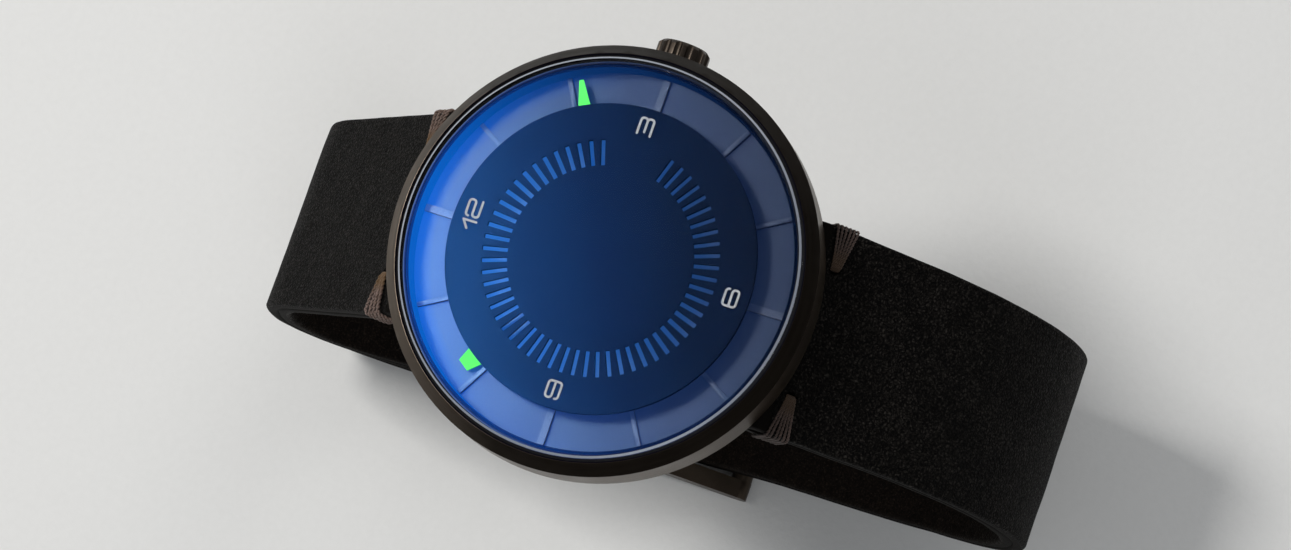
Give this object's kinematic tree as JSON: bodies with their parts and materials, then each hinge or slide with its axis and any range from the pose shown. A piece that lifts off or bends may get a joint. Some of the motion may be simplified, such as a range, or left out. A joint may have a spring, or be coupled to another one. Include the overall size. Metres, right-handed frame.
{
  "type": "wristwatch",
  "caption": "Automatic wristwatch with a blue two-level dial, crown at 3 o'clock and a buckled leather strap that stands as a closed loop.",
  "frame": {"origin": "centre of the case back's outer face, where the watch meets the wrist", "axes": "+Z out of the dial, +Y towards 12 o'clock, +X towards 3 o'clock and the crown; the strap loop lies below the origin"},
  "size_m": [0.0416, 0.0803, 0.0546],
  "materials": {
    "case_metal": "brushed, matt coating",
    "crown_metal": "matt coating",
    "buckle_metal": "brushed, matt coating",
    "crystal_glass": "polished",
    "black_rubber": "matt",
    "flange_blue": "satin",
    "disc_blue": "satin sunray",
    "numeral_grey": "printed",
    "dial_blue": "satin",
    "lume_green": "luminous paint",
    "plated": "plated, brushed",
    "weight_metal": "heavy alloy",
    "blued_steel": "blued",
    "wheel_brass": "gilt",
    "works_steel": "polished",
    "ruby": "polished stone",
    "strap_leather": "fine grain, matt",
    "thread": "twisted"
  },
  "bodies": {
    "case": {"case_middle": "case_metal", "crystal": "crystal_glass", "crystal_gasket": "black_rubber", "flange_ring": "flange_blue", "centre_disc": "disc_blue", "disc_numerals": "numeral_grey", "dial": "dial_blue", "hour_bars": "dial_blue", "movement_ring": "plated", "mainplate": "plated", "barrel_bridge": "plated", "train_bridge": "plated", "balance_cock": "plated", "rotor_bridge": "plated", "bridge_screws": "blued_steel", "jewels": "ruby", "hairspring": "blued_steel", "crown_tube": "works_steel", "case_back": "case_metal", "back_window": "crystal_glass", "back_gasket": "black_rubber", "back_screws": "crown_metal", "strap_bars": "works_steel", "strap_12": "strap_leather", "strap_6": "strap_leather", "stitches_12": "thread", "stitches_6": "thread", "fixed_keeper": "strap_leather"},
    "minute": {"minute_hand": "dial_blue", "minute_tip": "lume_green", "cannon_pinion": "works_steel"},
    "hour": {"hour_hand": "dial_blue", "hour_tip": "lume_green", "hour_wheel": "wheel_brass"},
    "minute_wheel": {"minute_wheel": "wheel_brass"},
    "centre_wheel": {"centre_wheel": "wheel_brass"},
    "third_wheel": {"third_wheel": "wheel_brass"},
    "fourth_wheel": {"fourth_wheel": "wheel_brass"},
    "escape_wheel": {"escape_wheel": "works_steel"},
    "barrel": {"barrel": "wheel_brass", "mainspring": "works_steel"},
    "pallet_fork": {"pallet_fork": "works_steel"},
    "balance": {"balance_wheel": "wheel_brass"},
    "rotor": {"rotor": "plated", "rotor_weight": "weight_metal", "rotor_bearing": "works_steel"},
    "reduction_wheel": {"reduction_wheel": "wheel_brass"},
    "ratchet": {"barrel_arbor": "works_steel"},
    "click": {"click": "works_steel"},
    "crown_slide": {"crown_gasket": "black_rubber"},
    "crown": {"crown": "crown_metal", "winding_stem": "works_steel"},
    "winding_pinion": {"winding_pinion": "works_steel"},
    "sliding_pinion": {"sliding_pinion": "works_steel"},
    "setting_lever": {"setting_lever": "works_steel"},
    "sliding_keeper": {"sliding_keeper": "strap_leather"},
    "buckle_frame": {"buckle_frame": "buckle_metal", "buckle_bar": "works_steel"},
    "buckle_tang": {"buckle_tang": "buckle_metal"}
  },
  "joints": [
    {"name": "minute_turn", "type": "hinge", "parent": "case", "child": "minute", "pos_m": [0, 0, 0.0074], "axis": [0, 0, 1], "continuous": true},
    {"name": "hour_turn", "type": "hinge", "parent": "case", "child": "hour", "pos_m": [0, 0, 0.0074], "axis": [0, 0, 1], "continuous": true},
    {"name": "minute_wheel_turn", "type": "hinge", "parent": "case", "child": "minute_wheel", "pos_m": [0.0016, 0.00275, 0.0074], "axis": [0, 0, 1], "continuous": true},
    {"name": "centre_wheel_turn", "type": "hinge", "parent": "case", "child": "centre_wheel", "pos_m": [0, 0, 0.0074], "axis": [0, 0, 1], "continuous": true},
    {"name": "third_wheel_turn", "type": "hinge", "parent": "case", "child": "third_wheel", "pos_m": [0.00448, 0.00039, 0.0074], "axis": [0, 0, 1], "continuous": true},
    {"name": "fourth_wheel_turn", "type": "hinge", "parent": "case", "child": "fourth_wheel", "pos_m": [0.00547, -0.0033, 0.0074], "axis": [0, 0, 1], "continuous": true},
    {"name": "escape_wheel_turn", "type": "hinge", "parent": "case", "child": "escape_wheel", "pos_m": [0.00268, -0.00564, 0.0074], "axis": [0, 0, 1], "continuous": true},
    {"name": "barrel_turn", "type": "hinge", "parent": "case", "child": "barrel", "pos_m": [-0.00373, 0.00532, 0.0074], "axis": [0, 0, 1], "continuous": true},
    {"name": "pallet_swing", "type": "hinge", "parent": "case", "child": "pallet_fork", "pos_m": [0.00002, -0.00635, 0.0074], "axis": [0, 0, 1], "range_deg": [-5, 5]},
    {"name": "balance_swing", "type": "hinge", "parent": "case", "child": "balance", "pos_m": [-0.00297, -0.00715, 0.0074], "axis": [0, 0, 1], "range_deg": [-270, 270]},
    {"name": "rotor_turn", "type": "hinge", "parent": "case", "child": "rotor", "pos_m": [0, 0, 0.0074], "axis": [0, 0, 1], "continuous": true},
    {"name": "reduction_turn", "type": "hinge", "parent": "case", "child": "reduction_wheel", "pos_m": [-0.00046, 0.00404, 0.0074], "axis": [0, 0, 1], "continuous": true},
    {"name": "ratchet_turn", "type": "hinge", "parent": "case", "child": "ratchet", "pos_m": [-0.00373, 0.00532, 0.0074], "axis": [0, 0, 1], "continuous": true},
    {"name": "click_swing", "type": "hinge", "parent": "case", "child": "click", "pos_m": [-0.00728, 0.00737, 0.0074], "axis": [0, 0, 1], "range_deg": [-12, 0]},
    {"name": "crown_pull", "type": "slide", "parent": "case", "child": "crown_slide", "axis": [1, 0, 0], "range_m": [0, 0.0012]},
    {"name": "crown_turn", "type": "hinge", "parent": "crown_slide", "child": "crown", "pos_m": [0.02, 0, 0.0057], "axis": [1, 0, 0], "continuous": true},
    {"name": "winding_pinion_turn", "type": "hinge", "parent": "case", "child": "winding_pinion", "pos_m": [0.008, 0, 0.0057], "axis": [1, 0, 0], "continuous": true},
    {"name": "sliding_pinion_shift", "type": "slide", "parent": "case", "child": "sliding_pinion", "axis": [1, 0, 0], "range_m": [-0.00036, 0]},
    {"name": "setting_lever_swing", "type": "hinge", "parent": "case", "child": "setting_lever", "pos_m": [0.0109, 0.0026, 0.0074], "axis": [0, 0, 1], "range_deg": [0, 26.68]},
    {"name": "sliding_keeper_slide", "type": "slide", "parent": "case", "child": "sliding_keeper", "axis": [0, 1, 0], "range_m": [-0.0016, 0.004]},
    {"name": "buckle_hinge", "type": "hinge", "parent": "case", "child": "buckle_frame", "pos_m": [0, 0.008, -0.0385], "axis": [1, 0, 0], "range_deg": [0, 5]},
    {"name": "tang_hinge", "type": "hinge", "parent": "buckle_frame", "child": "buckle_tang", "pos_m": [0, 0.008, -0.0385], "axis": [1, 0, 0], "range_deg": [0, 5]}
  ],
  "couplings": [
    {"joint": "hour_turn", "follows": "minute_turn", "ratio": 0.083333},
    {"joint": "minute_wheel_turn", "follows": "minute_turn", "ratio": -0.33333},
    {"joint": "centre_wheel_turn", "follows": "minute_turn", "ratio": 1},
    {"joint": "third_wheel_turn", "follows": "minute_turn", "ratio": -8},
    {"joint": "fourth_wheel_turn", "follows": "minute_turn", "ratio": 60},
    {"joint": "escape_wheel_turn", "follows": "minute_turn", "ratio": -720},
    {"joint": "barrel_turn", "follows": "minute_turn", "ratio": -0.16667},
    {"joint": "reduction_turn", "follows": "rotor_turn", "ratio": -1.1765},
    {"joint": "ratchet_turn", "follows": "rotor_turn", "ratio": 0.28011},
    {"joint": "winding_pinion_turn", "follows": "crown_turn", "ratio": 1},
    {"joint": "sliding_pinion_shift", "follows": "crown_pull", "ratio": -0.3},
    {"joint": "setting_lever_swing", "follows": "crown_pull", "rad_per_m": 388.11}
  ]
}
